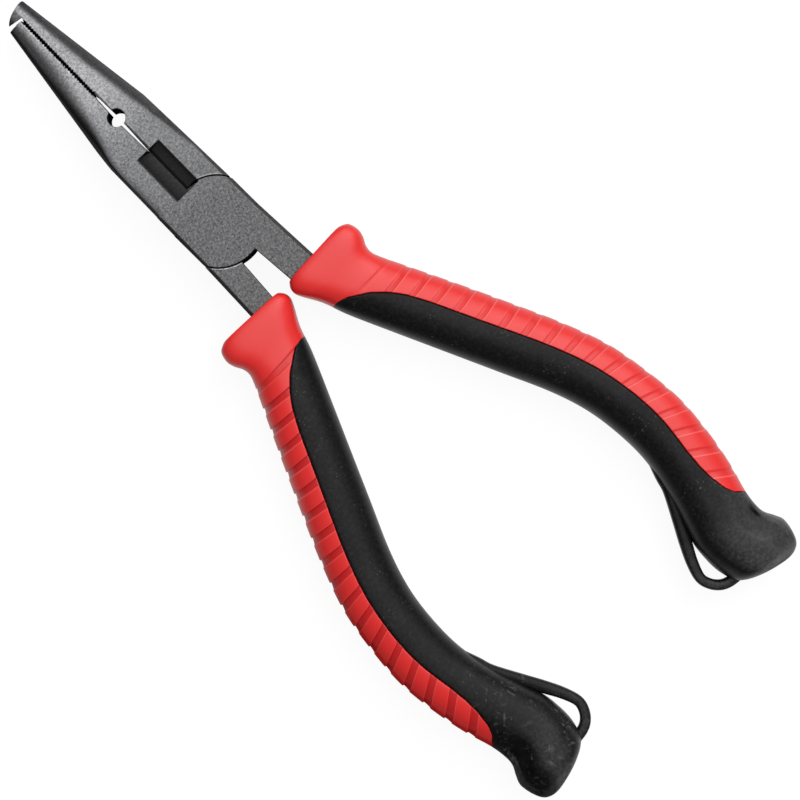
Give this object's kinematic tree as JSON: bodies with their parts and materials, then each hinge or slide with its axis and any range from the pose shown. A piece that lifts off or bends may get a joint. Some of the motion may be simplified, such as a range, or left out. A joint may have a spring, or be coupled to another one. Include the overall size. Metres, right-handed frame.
{
  "type": "fishing pliers",
  "caption": "Long-nose pliers with toothed jaws, split-ring hook, crimping hole, cutter and curved soft-faced handles with lanyard loops, hinged on a riveted lap joint.",
  "frame": {"origin": "on the pivot axis, at the flat back of the joint", "axes": "+Y along the nose to its tip, +Z along the pivot from the rear half to the front half, +X to the hooked jaw"},
  "size_m": [0.0764, 0.179, 0.0152],
  "materials": {
    "steel": "sand-blasted dark grey, satin",
    "red_plastic": "satin",
    "black_rubber": "matte"
  },
  "bodies": {
    "front_body": {"front_half": "steel", "pivot_rivet": "steel", "right_core": "red_plastic", "right_grip": "black_rubber", "right_lanyard_loop": "black_rubber"},
    "rear_body": {"rear_half": "steel", "left_core": "red_plastic", "left_grip": "black_rubber", "left_lanyard_loop": "black_rubber"}
  },
  "joints": [
    {"name": "jaw_pivot", "type": "hinge", "parent": "front_body", "child": "rear_body", "pos_m": [0, 0, 0.0055], "axis": [0, 0, -1], "range_deg": [0, 40]}
  ]
}
